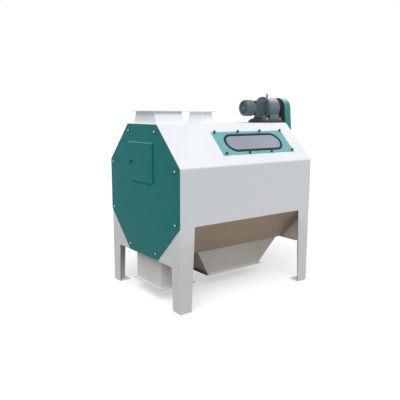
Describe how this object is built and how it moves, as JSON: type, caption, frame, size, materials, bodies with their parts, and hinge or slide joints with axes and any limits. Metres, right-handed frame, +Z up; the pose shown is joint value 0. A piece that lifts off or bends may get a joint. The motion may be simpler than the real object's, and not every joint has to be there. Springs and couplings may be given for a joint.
{
  "type": "drum seed cleaner",
  "caption": "Octagonal sheet-steel drum screen cleaner on tapered legs, with top feed inlet, side window, bottom hopper and chain-driven drum.",
  "frame": {"origin": "on the floor, midway between the four foot anchor holes, below the drum axis", "axes": "+X along the drum axis from the bolted end cover towards the chain guard, +Y to the rear (the window faces -Y), +Z up"},
  "size_m": [1.4608, 1, 1.5771],
  "materials": {
    "bare_sheet": "plain mill-finish sheet",
    "bearing_steel": "ground steel with dark seals",
    "beech_bar": "plain beech, unfinished",
    "black_plastic": "moulded, lightly textured",
    "black_rubber": "dull black extruded rubber",
    "bright_fastener": "bright zinc plate",
    "chain_steel": "oiled chain steel",
    "clear_pane": "clear polycarbonate sheet, slightly dusty",
    "dark_fastener": "blackened steel",
    "dark_paint": "dull brown-black",
    "green_paint": "gloss deep green",
    "grey_casting": "primed grey iron casting",
    "guard_paint": "gloss mid green",
    "hood_paint": "semi-gloss off-white sheet paint",
    "housing_paint": "semi-gloss light grey sheet paint",
    "motor_paint": "semi-gloss blue-grey machine enamel",
    "nylon_bristle": "natural nylon bristle",
    "screen_steel": "galvanised punched sheet",
    "shaft_steel": "turned steel",
    "sprocket_steel": "oiled machined steel",
    "teal_paint": "gloss pale teal"
  },
  "bodies": {
    "housing": {"aspiration_outlet": "housing_paint", "bearing_carrier": "grey_casting", "bottom_plate": "housing_paint", "brush_bar": "beech_bar", "brush_brackets": "bare_sheet", "brush_bristles": "nylon_bristle", "carrier_bolts": "bright_fastener", "door_hinge_pin": "bright_fastener", "end_cover": "green_paint", "end_cover_bolts": "bright_fastener", "end_cover_gasket": "black_rubber", "eye_bolt": "dark_fastener", "fan_cowl": "motor_paint", "far_end_frame": "housing_paint", "feed_chute": "bare_sheet", "feed_inlet": "housing_paint", "foot_plates": "housing_paint", "front_side_panel": "housing_paint", "front_trough_plate": "housing_paint", "gearbox_foot_bolts": "bright_fastener", "gearbox_housing": "motor_paint", "gearbox_input_flange": "motor_paint", "grain_hopper": "housing_paint", "guard_back_plate": "dark_paint", "guard_bolts": "bright_fastener", "guard_cover": "guard_paint", "guard_standoffs": "dark_paint", "hood_front_panel": "hood_paint", "hood_rear_panel": "hood_paint", "hood_top_panel": "hood_paint", "motor_base_plate": "dark_paint", "motor_base_rails": "dark_paint", "motor_housing": "motor_paint", "near_end_frame": "housing_paint", "partition_plate": "bare_sheet", "rear_side_panel": "housing_paint", "rear_trough_plate": "housing_paint", "roller_chain": "chain_steel", "shaft_bearings": "bearing_steel", "terminal_box": "motor_paint", "trash_chute": "housing_paint", "window_frame": "teal_paint", "window_knobs": "black_plastic", "window_pane": "clear_pane", "window_seal": "black_rubber"},
    "door": {"inspection_door": "green_paint", "door_gasket": "black_rubber"},
    "latch": {"latch_knob": "black_plastic", "latch_cam": "bright_fastener"},
    "drum": {"drum_frame": "bare_sheet", "fine_screen": "screen_steel", "coarse_screen": "screen_steel", "drum_spider": "grey_casting", "guide_spiral": "bare_sheet", "main_shaft": "shaft_steel", "driven_sprocket": "sprocket_steel"},
    "output": {"output_shaft": "shaft_steel", "drive_sprocket": "sprocket_steel"},
    "rotor": {"motor_rotor": "shaft_steel", "cooling_fan": "black_plastic"}
  },
  "joints": [
    {"name": "drum_spin", "type": "hinge", "parent": "housing", "child": "drum", "pos_m": [0, 0, 0.83], "axis": [1, 0, 0], "continuous": true, "deforming": ["roller_chain"]},
    {"name": "output_spin", "type": "hinge", "parent": "housing", "child": "output", "pos_m": [0.654, -0.05, 1.45338], "axis": [1, 0, 0], "continuous": true},
    {"name": "rotor_spin", "type": "hinge", "parent": "housing", "child": "rotor", "pos_m": [0.384, -0.05, 1.45338], "axis": [1, 0, 0], "continuous": true},
    {"name": "door_swing", "type": "hinge", "parent": "housing", "child": "door", "pos_m": [-0.6648, -0.1555, 1.0445], "axis": [0, 0, 1], "range_deg": [0, 110]},
    {"name": "latch_turn", "type": "hinge", "parent": "door", "child": "latch", "pos_m": [-0.665, 0.155, 1.043], "axis": [1, 0, 0], "range_deg": [0, 90]}
  ],
  "couplings": [
    {"joint": "output_spin", "follows": "drum_spin", "ratio": 2.9412},
    {"joint": "rotor_spin", "follows": "drum_spin", "ratio": -67.647}
  ]
}
